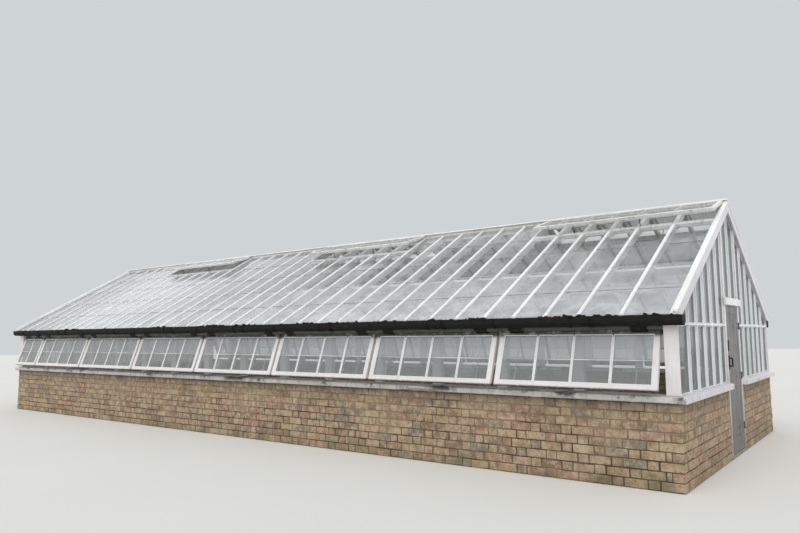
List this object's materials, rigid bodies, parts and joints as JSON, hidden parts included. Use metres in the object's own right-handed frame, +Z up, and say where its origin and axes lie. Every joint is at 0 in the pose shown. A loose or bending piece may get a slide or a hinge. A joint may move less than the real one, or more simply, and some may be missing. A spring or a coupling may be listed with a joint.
{
  "type": "glass greenhouse",
  "caption": "Long timber greenhouse on a low brick wall, with a pitched glass roof, top-hung side sashes and ridge vents propped open, and a plank door in one gable.",
  "frame": {"origin": "middle of the footprint, on the ground", "axes": "+X along the ridge towards the gable with the door, -Y towards the long front, +Z up"},
  "size_m": [14.02, 5.3826, 3.2153],
  "materials": {
    "white_paint": "weathered white oil paint on softwood",
    "painted_sill": "white paint, dirty and stained along the front",
    "brick": "buff stock brick in lime mortar",
    "concrete": "worn grey concrete",
    "glass": "thin horticultural glass with a film of dirt",
    "door_timber": "bare grey weathered timber",
    "gutter_iron": "black painted, dirty",
    "black_ironwork": "rough black iron"
  },
  "bodies": {
    "greenhouse": {"barge_boards_front": "white_paint", "barge_boards_rear": "white_paint", "brick_wall_far_gable": "brick", "brick_wall_front": "brick", "brick_wall_left_of_door": "brick", "brick_wall_rear": "brick", "brick_wall_right_of_door": "brick", "concrete_floor": "concrete", "corner_posts": "white_paint", "door_head": "white_paint", "door_hinge_jamb_leaves": "black_ironwork", "door_hood": "white_paint", "door_jambs": "white_paint", "door_stops": "white_paint", "eaves_plate_front": "white_paint", "eaves_plate_rear": "white_paint", "gable_bars_far_end": "white_paint", "gable_bars_left_of_door": "white_paint", "gable_bars_over_door": "white_paint", "gable_bars_right_of_door": "white_paint", "gable_glass_door_end": "glass", "gable_glass_far_end": "glass", "gutter_brackets_front": "gutter_iron", "gutter_brackets_rear": "gutter_iron", "gutter_front": "gutter_iron", "gutter_rear": "gutter_iron", "purlins": "white_paint", "rafters_front": "white_paint", "rafters_rear": "white_paint", "ridge_board": "white_paint", "ridge_cap": "white_paint", "ridge_vents_front": "white_paint", "ridge_vents_rear": "white_paint", "roof_glass_front": "glass", "roof_glass_rear": "glass", "sash_glass_front": "glass", "sash_glass_rear": "glass", "side_posts_front": "white_paint", "side_posts_rear": "white_paint", "side_sashes_front": "white_paint", "side_sashes_rear": "white_paint", "sill_far_gable": "painted_sill", "sill_front": "painted_sill", "sill_left_of_door": "painted_sill", "sill_rear": "painted_sill", "sill_right_of_door": "painted_sill", "vent_glass_front": "glass", "vent_glass_rear": "glass", "vent_seats_front": "white_paint", "vent_seats_rear": "white_paint", "verge_caps_front": "white_paint", "verge_caps_rear": "white_paint"},
    "door": {"door_hinge_straps": "black_ironwork", "door_latch": "black_ironwork", "door_leaf": "door_timber"}
  },
  "joints": [
    {"name": "door_hinge", "type": "hinge", "parent": "greenhouse", "child": "door", "pos_m": [6.937, 0.3495, 0.96], "axis": [0, 0, 1], "range_deg": [0, 95]}
  ]
}
